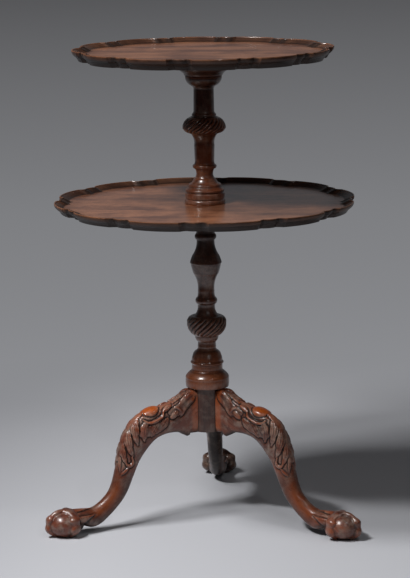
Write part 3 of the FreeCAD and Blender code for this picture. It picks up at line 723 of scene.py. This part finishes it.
def leg_surface():
    """u, v and points of a leg that points along X. A section's point at the angle a is
    r*cos(a) along the arm and r*sin(a) across, with r = (|cos a|^n + |sin a|^n)^(-1/n)."""
    upper_out, upper_up, lower_out, lower_up, place, square = np.array(leg_shares).T
    upper = np.column_stack([block_flat + leg_reach * upper_out, leg_top_height * upper_up])
    lower = np.column_stack([block_flat + leg_reach * lower_out, strap_seat_height * lower_up])
    middle, arm = (upper + lower) / 2, (upper - lower) / 2
    knots = np.concatenate([[0], np.cumsum(np.linalg.norm(np.diff(middle, axis=0), axis=1))])
    values = np.column_stack([middle, arm, np.interp(place, range(4), leg_widths) / 2, square])
    t = np.linspace(0, knots[-1], 4000)
    dense = smooth_rows(knots, values, t)
    edge = dense[:, 0:2] + dense[:, 2:4]
    run = np.concatenate([[0], np.cumsum(np.linalg.norm(np.diff(edge, axis=0), axis=1))])
    u = np.concatenate([np.arange(0, carved_to, carved_step), np.arange(carved_to, run[-1], plain_step),
                        run[-1:]])
    rows = smooth_rows(knots, values, np.interp(u, run, t))
    a = 2 * np.pi * np.arange(leg_columns) / leg_columns
    c, s, n = np.cos(a)[None, :], np.sin(a)[None, :], rows[:, 5:6]
    r = (np.abs(c) ** n + np.abs(s) ** n) ** (-1 / n)
    along = c * r
    points = np.stack([rows[:, 0:1] + rows[:, 2:3] * along, rows[:, 4:5] * s * r,
                       rows[:, 1:2] + rows[:, 3:4] * along], axis=-1)
    step = np.linalg.norm(np.roll(points, -1, axis=1) - points, axis=2)
    round_way = np.cumsum(step, axis=1) - step
    v = np.minimum(round_way, step.sum(axis=1, keepdims=True) - round_way)
    return u, v, along, points


leg_u, leg_v, leg_along, leg_points = leg_surface()
print("leg:", leg_points.shape[:2], "rows and columns, upper edge", round(leg_u[-1]), "mm")

# %% [markdown]
# ## The carving on the knees
# Leaves, curls and a long C-shaped scroll stand on a slightly sunk ground, with a smooth oval
# boss on the knee. They could be sculpted with brushes, which no script can repeat, so each
# lobe is a stroke of a round gouge: a half round over a curved line of changing width, with a
# shallow vein along its middle. The highest stroke wins, and the ground dips beside it.

# %% Strokes of the carving
# Height, depth of the vein, and the line: (u, v, half width), all in mm.
knee_strokes = (
    (2.6, 0, ((93, 0, 10), (102, 0, 13), (111, 0, 10))),
    (2.5, 0, ((93, 7, 8), (102, 10, 12), (111, 9, 8))),
    (3.6, 0, ((80, 19, 1.6), (83, 26, 2.6), (91, 31, 3.2), (102, 33, 3.4), (113, 32, 3.2), (122, 27, 2.6),
                (126, 19, 1.6))),
    (2.6, 0, ((62, 14, 3), (70, 15, 5.4), (78, 18, 3))),
    (3.8, 0, ((52, 33, 5), (57, 34, 7), (63, 35, 5))),
    (2.4, 0, ((40, 35, 1.8), (45, 28, 2.6), (53, 21, 1.8))),
    (3, 1, ((3, 8, 3.6), (14, 12, 7), (30, 17, 5.8), (44, 22, 2.2))),
    (2.6, 0.8, ((7, 25, 2.2), (15, 28, 5), (28, 31, 2.6))),
    (2.6, 0.8, ((24, 30, 2.2), (32, 37, 5), (40, 43, 2.4))),
    (2.4, 0.7, ((22, 1, 2.4), (36, 4, 5), (54, 9, 2.6))),
    (1.6, 0, ((78, 41, 5), (100, 47, 10.5), (128, 44, 10.5), (150, 34, 5))),
    (1, 0, ((6, 14, 7), (22, 26, 12), (46, 30, 11), (64, 26, 6))),
    (2.8, 0.8, ((76, 37, 4), (87, 44, 7.6), (100, 51, 3.4))),
    (3.2, 0.8, ((100, 40, 4.6), (114, 47, 8.8), (129, 53, 4))),
    (3.4, 0.8, ((125, 27, 4.6), (139, 35, 9), (153, 46, 3.6))),
    (2.2, 0, ((118, 0, 6), (136, 0, 10), (162, 0, 10), (192, 0, 8), (222, 0, 4))),
    (3.6, 1.1, ((138, 10, 4), (150, 16, 8.6), (163, 27, 6.6), (172, 37, 2.4))),
    (3.6, 1.1, ((162, 8, 4), (176, 14, 8.2), (191, 25, 6.4), (200, 35, 2.4))),
    (3, 0.8, ((188, 6, 3.8), (202, 11, 6.6), (214, 18, 5), (222, 24, 2.6))),
    (2.8, 0, ((204, 34, 2), (213, 38, 3), (222, 34, 3.6), (224, 26, 3), (217, 21, 2))),
    (1.8, 0.4, ((208, 3, 3), (222, 8, 4.4), (240, 13, 1.6))),
    (1.4, 0, ((228, 30, 1.6), (238, 24, 2.6), (246, 17, 1.4))),
    (3.6, 0, ((332, 0, 0.5), (346, 0, 2.5), (358, 0, 6.5), (374, 0, 9))),
    (2.2, 0, ((336, 18, 0.5), (348, 22, 2.5), (361, 26, 6), (374, 31, 9))))
print(len(knee_strokes), "strokes, the highest", max(height for height, _, _ in knee_strokes), "mm")

# %% From strokes to relief
ground_depth, ground_reach, stroke_reach, line_points = 1.4, 3.0, 14, 40
leaf_width, lobe_swell, lobe_count_on_leaf = 0.84, 0.3, 3
nothing = 1e9


def carved(u, v, strokes):
    """height*sqrt(w/widest)*sqrt(1 - q^2) over each line, where w is its half width there and q the
    distance over w, less its veins. The half width of a veined leaf swells by |sin| into lobes.
    Outside the strokes the ground dips by ground_depth*exp(-(gap/reach)^2)."""
    top, gap = np.full(v.shape, -nothing), np.full(v.shape, nothing)
    place = np.stack([np.broadcast_to(u[:, None], v.shape), v], axis=-1)
    lobes = np.abs(np.sin(np.linspace(0.25, 0.25 + lobe_count_on_leaf, line_points) * np.pi))
    for height, vein, line in strokes:
        knots = np.array(line, float)
        last = len(knots) - 1
        fine = smooth_rows(np.arange(last + 1.0), knots, np.linspace(0, last, line_points))
        if vein:
            fine[:, 2] *= leaf_width + lobe_swell * lobes
        near = (u > knots[:, 0].min() - stroke_reach) & (u < knots[:, 0].max() + stroke_reach)
        away = np.linalg.norm(place[near][:, :, None, :] - fine[:, :2], axis=-1)
        ratio = away / fine[:, 2]
        q = ratio.min(axis=-1)
        width = fine[ratio.argmin(axis=-1), 2]
        veins = np.exp(-(q * width / 0.9) ** 2) + 0.7 * np.exp(-((q - 0.55) * width / 0.8) ** 2)
        local = height * np.sqrt(width / fine[:, 2].max())
        dome = np.where(q < 1, local * np.sqrt(np.clip(1 - q * q, 0, 1)) - 1.5 * vein * veins, -nothing)
        top[near] = np.maximum(top[near], dome)
        gap[near] = np.minimum(gap[near], (away - fine[:, 2]).min(axis=-1))
    ground = -ground_depth * np.exp(-(np.maximum(gap, 0) / ground_reach) ** 2)
    return np.where(top > -0.1 * nothing, top, ground)


def outward_normals(points):
    """Unit cross product of the steps round and along the grid."""
    around = np.roll(points, -1, axis=1) - np.roll(points, 1, axis=1)
    normal = np.cross(np.gradient(points, axis=0), around)
    return normal / np.maximum(np.linalg.norm(normal, axis=2, keepdims=True), 1e-9)


relief = blurred(carved(leg_u, leg_v, knee_strokes), 2)
relief *= ramp(leg_u, 0.5, 5)[:, None]
leg_carved = leg_points + outward_normals(leg_points) * relief[:, :, None]
print("relief from", round(relief.min(), 1), "to", round(relief.max(), 1), "mm")

# %% Cusp under the knee, and the seat of the strap
# The lower edge drops to a small cusp just outside the strap: (way out, drop).
cusp_outline = ((44.3, 0), (44.5, 3.5), (49, 5.5), (57, 2.2), (66, 0))
drop = np.interp(leg_carved[..., 0], *zip(*cusp_outline)) * ramp(-leg_along, 0.6, 0.95)
leg_carved[..., 2] -= drop
on_strap = (leg_carved[..., 0] < cusp_outline[0][0]) & (leg_carved[..., 2] < strap_seat_height)
leg_carved[on_strap, 2] = strap_seat_height
print("points set on the strap:", on_strap.sum())

# %% Dirt, wear and wax on the legs, with painted shade, light and sheen
# Places along the leg in mm of u: the block ends at 17, the carving at 236, the shaft at 350.
# A closely blurred relief finds the cuts beside a leaf, and a widely blurred one the low ground.
u, v = leg_u[:, None], leg_v
stand = relief - blurred(relief, 26)
wide_stand = relief - blurred(relief, 100)
carved_zone = between(u, 14, 26, 214, 236) * (1 - ramp(v, 46, 60))
cabochon = np.exp(-(((u - 101) / 16) ** 2 + (v / 20) ** 2) ** 2)
ridge = np.exp(-(v / 12) ** 2) * between(u, 30, 60, 130, 170)
by_block = 1 - ramp(u, 8, 17)
# Painted highlight: an orange band along the side of the shaft.
painted_highlight_on_shaft = between(u, 235, 290, 325, 350) * np.exp(-((v - 17) / 14) ** 2)
leg_hollow = np.clip(-stand / 1.25 - wide_stand / 5.0 + 0.12 * carved_zone, 0, 0.92)
# Painted shade: the underside of each leg is darker.
underside = 0.8 * ramp(-leg_along, 0.72, 0.97)
dark_shaft = 0.5 * between(u, 225, 260, 335, 350)
# Painted shade: the lower side of the ankle, just above the ball, is darker.
painted_shade_under_ankle = 0.75 * ramp(u, 338, 366) * ramp(-leg_along, -0.1, 0.6)
for shade in (underside, dark_shaft, painted_shade_under_ankle):
    leg_hollow = np.maximum(leg_hollow, shade)
rubbed_and_lit_places = 0.68 * cabochon + 0.35 * ridge + 0.42 * by_block + 0.7 * painted_highlight_on_shaft
leg_worn = np.clip(stand / 3.2 + rubbed_and_lit_places, 0, 0.9)
# A grey veil of wax and of painted sheen on the raised carving.
leg_waxed = carved_zone * np.clip(stand / 1.5 + 0.2, 0, 0.85) * (1 - cabochon)
print("mean dirt, wear and wax:", [round(a.mean(), 2) for a in (leg_hollow, leg_worn, leg_waxed)])

# %% [markdown]
# ## The ball-and-claw feet
# Each foot is one height field round the centre of its ball, raised by four claws. Separate
# tubes for the claws would leave hard seams, while one field grows them out of the ball as a
# carver does. A palm joins the claws at the ankle, and a lump behind is the heel.

# %% Surface of a foot
ball_radius, ball_height, ball_flat_share, claw_radius = 31.0, 48.0, 0.96, 7.5
ball_centre_height = ball_height * ball_flat_share / (1 + ball_flat_share)
ball_half_height = ball_height - ball_centre_height
claw_directions_deg = (0.0, 116.0, 244.0, 180.0)
claw_shares = ((0, 0.62), (0.14, 0.8), (0.25, 0.78), (0.36, 1.15), (0.46, 0.8), (0.57, 1.08),
               (0.68, 0.76), (0.71, 0.6), (0.79, 0.5), (0.86, 0.28), (0.89, 0.02))
foot_rows, foot_columns = 200, 352
swing_deg, swing_end, side_widening = 42, 0.45, 0.55
# Palm and heel: height in mm, reach in radians, and the tilt of the middle from straight up
# for the palm and from straight back for the heel.
palm_height, palm_reach, palm_tilt = 5.5, 0.72, 0.55
heel_height, heel_reach, heel_tilt = 9.0, 0.6, 0.1


def lump(out, middle, height, reach):
    """height * sqrt(1 - (angle from the middle direction / reach)^2)."""
    angle = np.arccos(np.clip(out @ np.array(middle), -1, 1))
    return height * np.sqrt(np.clip(1 - (angle / reach) ** 2, 0, 1))


def foot_surface():
    """Ellipsoid of the ball, raised by sqrt(t^2 - d^2) along each claw: t is its thickness there
    and d the distance from its middle line. The side claws are wider and start behind their
    direction, at the ankle, by swing_deg * (1 - share/swing_end)^2."""
    down = np.pi * (np.arange(foot_rows) + 0.5) / foot_rows
    way = 2 * np.pi * np.arange(foot_columns) / foot_columns
    sine, cosine = np.sin(down)[:, None], np.cos(down)[:, None]
    out = np.stack([sine * np.cos(way), sine * np.sin(way), cosine * np.ones(foot_columns)], axis=-1)
    share = down / np.pi
    at, size = np.array(claw_shares).T
    thick = claw_radius * smooth_rows(at, size[:, None], share) * (share < at[-1])[:, None]
    height = lump(out, (-math.sin(palm_tilt), 0, math.cos(palm_tilt)), palm_height, palm_reach)
    back = lump(out, (-math.cos(heel_tilt), 0, -math.sin(heel_tilt)), heel_height, heel_reach)
    height = np.maximum(height, back)
    for direction in claw_directions_deg:
        sideways = math.sin(math.radians(direction))
        swing = swing_deg * sideways * np.clip(1 - share / swing_end, 0, 1) ** 2
        middle = np.radians(direction + swing)[:, None]
        turn = (way - middle + np.pi) % (2 * np.pi) - np.pi
        across = np.where(np.abs(turn) < np.pi / 2, ball_radius * sine * np.abs(np.sin(turn)), 99)
        wide = across / (1 + side_widening * abs(sideways))
        height = np.maximum(height, np.sqrt(np.clip(thick ** 2 - wide ** 2, 0, None)))
    height = blurred(height, 6)
    radii = np.array([ball_radius, ball_radius, ball_half_height])
    normal = out / radii
    normal /= np.linalg.norm(normal, axis=-1, keepdims=True)
    centre = np.array([foot_circle_radius, 0, ball_centre_height])
    points = out * radii + normal * height[..., None] + centre
    points[..., 2] = np.maximum(points[..., 2], 0)
    return height, points


foot_height, foot_points = foot_surface()
print("foot:", foot_points.shape[:2], "rows and columns, claws", round(foot_height.max(), 1), "mm proud")

# %% Dirt, wear and painted shade on the feet
foot_stand = foot_height - blurred(foot_height, 30)
# Painted shade: the low part behind the ball, under the ankle, is darker.
painted_shade_behind_ball = (ramp(foot_circle_radius - foot_points[..., 0], 16, 32)
               * (1 - ramp(foot_points[..., 2], 26, 46)))
foot_hollow = np.maximum(np.clip(0.05 - foot_stand / 2.4, 0, 0.9), 0.8 * painted_shade_behind_ball)
foot_worn = np.clip(foot_stand / 5.0, 0, 1)
print("mean dirt and wear:", round(foot_hollow.mean(), 2), round(foot_worn.mean(), 2))

# %% The three legs with their feet
# Dark and light wood of each leg; the back one is darker, as in the picture, which is painted shade.
leg_colours = {"leg_front_left": ("#45231b", "#834632"), "leg_front_right": ("#45231a", "#83462f"),
               "leg_back": ("#1e0f0a", "#3e2015")}
leg_rubbed_and_lit, grain_tilt_deg = "#b5561a", 125
for (leg_name, colours), azimuth in zip(leg_colours.items(), leg_azimuths_deg):
    a = math.radians(azimuth)
    turn = np.array([[math.cos(a), math.sin(a), 0], [-math.sin(a), math.cos(a), 0], [0, 0, 1]])
    leg_wood = mahogany("mahogany_french_polished_" + leg_name, *colours, leg_rubbed_and_lit,
                        (0, grain_tilt_deg, azimuth), stretch=0.05, coat=0.75, mottle=0.3, haze=1.0,
                        coat_roughness=0.26)
    closed_piece(leg_name + "_carved", leg_carved @ turn, leg_wood, "stand", "mahogany_stand", leg_name,
                 hollow=leg_hollow, worn=leg_worn, waxed=leg_waxed)
    closed_piece(leg_name + "_claw_and_ball", foot_points @ turn, leg_wood, "stand", "mahogany_stand",
                 hollow=foot_hollow, worn=foot_worn)

# %% [markdown]
# ## Leather, iron, steel and brass
# The washers and the ironwork keep the shapes of the CAD model, which are right as they are.
# They only get their finishes here: waxed leather, hammered iron, filed steel and dull brass.

# %% Finishes of the small parts
# Two colours, how metallic and how rough, the size in mm of the grain and of its bump, and nodes.
small_parts = {
    "leather_waxed_washer": ("#4a2c1c", "#2c1910", 0.0, 0.55, 2.5, 0.3,
                             ("lower_tier_washer", "upper_tier_washer")),
    "wrought_iron_hammered": ("#2b2826", "#3d3029", 0.8, 0.5, 7.0, 0.5, ("leg_strap",)),
    "steel_hand_filed": ("#85807a", "#5f5a55", 1.0, 0.42, 1.5, 0.1,
                         ("leg_strap_screws", "boss_screws", "keeper_screw")),
    "brass_aged": ("#b08c4a", "#80622f", 1.0, 0.4, 3.0, 0.1, ("keeper_washer",)),
}
for name, (colour, other, metallic, roughness, grain_mm, bump_mm, nodes) in small_parts.items():
    material, tree, shader = new_material(name)
    place = add(tree, "TexCoord").outputs["Object"]
    noise = add(tree, "TexNoise", {"Scale": 1000 / grain_mm, "Detail": 3}, {"Vector": place})
    even = add(tree, "MapRange", limits(0.35, 0.65), {"Value": noise})
    tint = add(tree, "Mix", {**mix, 6: linear(colour), 7: linear(other)}, {0: even})
    rough = add(tree, "MapRange", limits(0, 1, roughness - 0.08, roughness + 0.08), {"Value": noise})
    bump = add(tree, "Bump", {"Strength": 0.7, "Distance": bump_mm * MM}, {"Height": noise})
    fill(tree, shader, {"Metallic": metallic}, {"Base Color": tint, "Roughness": rough, "Normal": bump})
    for node in nodes:
        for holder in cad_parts[node].material_slots:
            holder.material = material
    print(name, "on", nodes)
